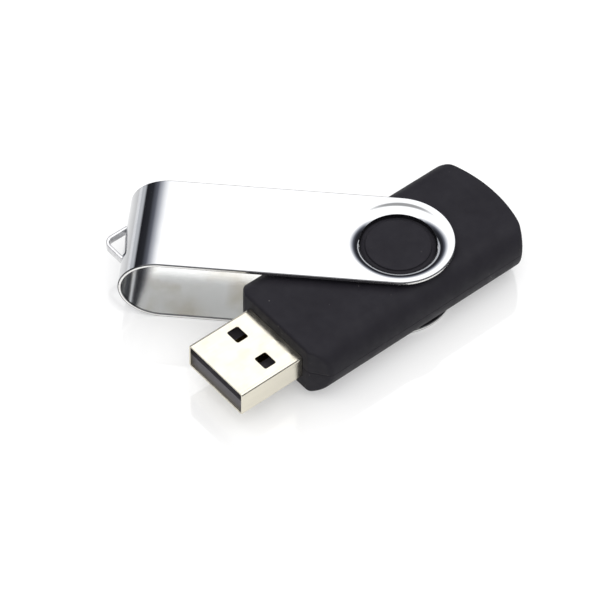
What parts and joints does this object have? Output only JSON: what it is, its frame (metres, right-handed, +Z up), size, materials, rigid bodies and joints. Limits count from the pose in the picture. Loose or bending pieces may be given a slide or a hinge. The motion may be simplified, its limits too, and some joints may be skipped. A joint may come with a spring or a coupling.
{
  "type": "usb flash drive",
  "caption": "USB flash drive: flat black casing with a bare metal plug, and a bright sheet-metal cover that swivels about the casing to guard the plug.",
  "frame": {"origin": "bottom centre of the whole drive's box, with the cover swung aside as it lies on a table", "axes": "+X from the tail of the casing to the mouth of the plug, +Y across the casing, +Z up, along the cover's swivel axis"},
  "size_m": [0.0526, 0.0442, 0.0115],
  "materials": {
    "black_casing": "soft-touch matte coating over moulded plastic",
    "bright_cover": "polished sheet metal with satin inner face",
    "loop_wire": "polished strip",
    "plug_steel": "nickel-plated sheet, bright with a warm tone",
    "tongue_plastic": "dark grey moulded plastic",
    "contact_metal": "thin gold plating",
    "board_laminate": "green solder mask",
    "chip_plastic": "fine matte moulding compound",
    "tinned_leads": "dull tin",
    "solder": "bright solder",
    "crystal_ceramic": "tan ceramic base",
    "crystal_metal": "satin lid",
    "capacitor_ceramic": "brown ceramic",
    "resistor_film": "black glazed film"
  },
  "bodies": {
    "casing": {"upper_casing": "black_casing", "lower_casing": "black_casing", "plug_shell": "plug_steel", "plug_insulator": "tongue_plastic", "contact_power": "contact_metal", "contact_data_minus": "contact_metal", "contact_data_plus": "contact_metal", "contact_ground": "contact_metal", "circuit_board": "board_laminate", "memory_chip": "chip_plastic", "memory_chip_leads": "tinned_leads", "controller_chip": "chip_plastic", "controller_chip_leads": "tinned_leads", "crystal_base": "crystal_ceramic", "crystal_lid": "crystal_metal", "chip_capacitors": "capacitor_ceramic", "capacitor_end_caps": "tinned_leads", "chip_resistors": "resistor_film", "resistor_end_caps": "tinned_leads", "shell_solder": "solder", "contact_solder": "solder"},
    "cover": {"swivel_cover": "bright_cover", "key_loop": "loop_wire"}
  },
  "joints": [
    {"name": "cover_swivel", "type": "hinge", "parent": "casing", "child": "cover", "pos_m": [-0.00802, 0.01214, 0.00573], "axis": [0, 0, 1], "continuous": true}
  ]
}
